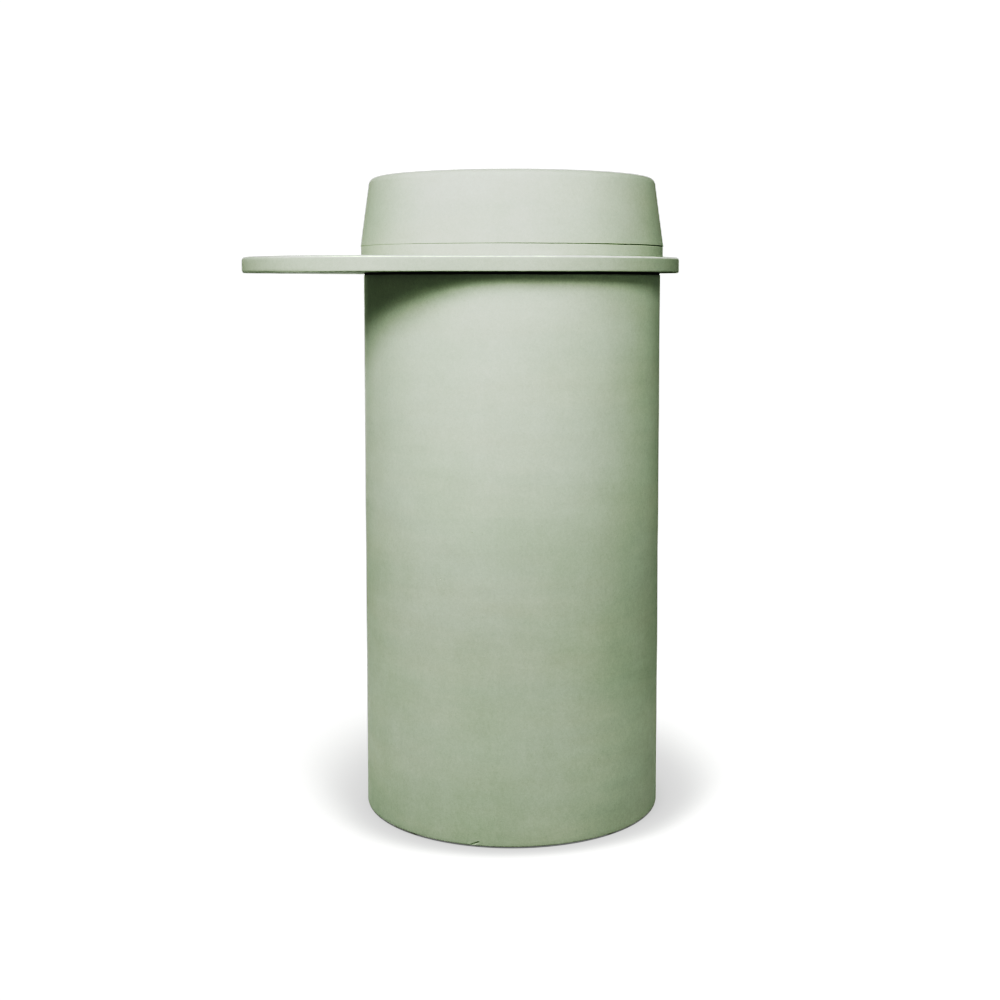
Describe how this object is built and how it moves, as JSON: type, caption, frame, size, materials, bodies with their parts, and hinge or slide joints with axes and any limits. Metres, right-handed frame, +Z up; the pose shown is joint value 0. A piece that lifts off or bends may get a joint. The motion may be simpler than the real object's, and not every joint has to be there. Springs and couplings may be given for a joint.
{
  "type": "pedestal wash basin",
  "caption": "Free-standing round wash basin of pigmented concrete on a hollow cylinder pedestal, with a flat side tray, a pop-up waste and a bottle trap whose cup unscrews.",
  "frame": {"origin": "on the pedestal's axis at floor level, the centre of the floor bolt circle", "axes": "+Z up the pedestal's axis, the front faces -Y, the plumbing opening faces +Y, the tray overhangs towards -X"},
  "size_m": [0.588, 0.45, 0.85],
  "materials": {
    "concrete": "cast concrete, pigmented sage green, fine grain, sealed matt",
    "dark_rubber": "matt black sealing rubber",
    "zinc_steel": "zinc plated steel",
    "chrome": "polished chrome plate",
    "brass": "turned brass"
  },
  "bodies": {
    "stand": {"levelling_pads": "dark_rubber", "floor_bracket_front": "zinc_steel", "floor_bracket_right": "zinc_steel", "floor_bracket_left": "zinc_steel", "floor_inserts": "brass", "floor_screws": "zinc_steel", "pedestal": "concrete", "tray_seal": "dark_rubber", "tray_bracket_front": "zinc_steel", "tray_bracket_right": "zinc_steel", "tray_bracket_left": "zinc_steel", "wall_inserts": "brass", "wall_screws": "zinc_steel", "tray_inserts": "brass", "tray_screws": "zinc_steel", "tray": "concrete", "collar_ring": "concrete", "basin_seal": "dark_rubber", "basin": "concrete", "basin_inserts": "brass", "clamp_rods": "zinc_steel", "clamp_ring": "zinc_steel", "clamp_nuts": "zinc_steel", "flange_seal": "dark_rubber", "waste_body": "chrome", "hub_seal": "dark_rubber", "waste_backnut": "brass", "plug_cartridge": "brass", "plug_spring": "zinc_steel", "inlet_nut": "chrome", "inlet_washer": "dark_rubber", "inlet_pipe": "chrome", "trap_top_nut": "chrome", "trap_top_washer": "dark_rubber", "trap_body": "chrome", "dip_tube": "chrome", "outlet_nut": "chrome", "outlet_washer": "dark_rubber", "outlet_pipe": "chrome"},
    "plug": {"plug_stem": "brass", "plug_cap": "chrome", "plug_seal": "dark_rubber"},
    "cup_seal": {"cup_seal": "dark_rubber"},
    "trap_cup": {"trap_cup": "chrome"}
  },
  "joints": [
    {"name": "plug_press", "type": "slide", "parent": "stand", "child": "plug", "axis": [0, 0, 1], "range_m": [-0.009, 0], "stiffness_N_per_m": 250, "springref_m": 0.012, "deforming": ["plug_spring"]},
    {"name": "cup_drop", "type": "slide", "parent": "stand", "child": "cup_seal", "axis": [0, 0, -1], "range_m": [0, 0.0121]},
    {"name": "cup_unscrew", "type": "hinge", "parent": "cup_seal", "child": "trap_cup", "pos_m": [0, 0, 0.49], "axis": [0, 0, -1], "range_deg": [0, 1080]}
  ],
  "couplings": [
    {"joint": "cup_drop", "follows": "cup_unscrew", "m_per_rad": 0.00063662}
  ]
}
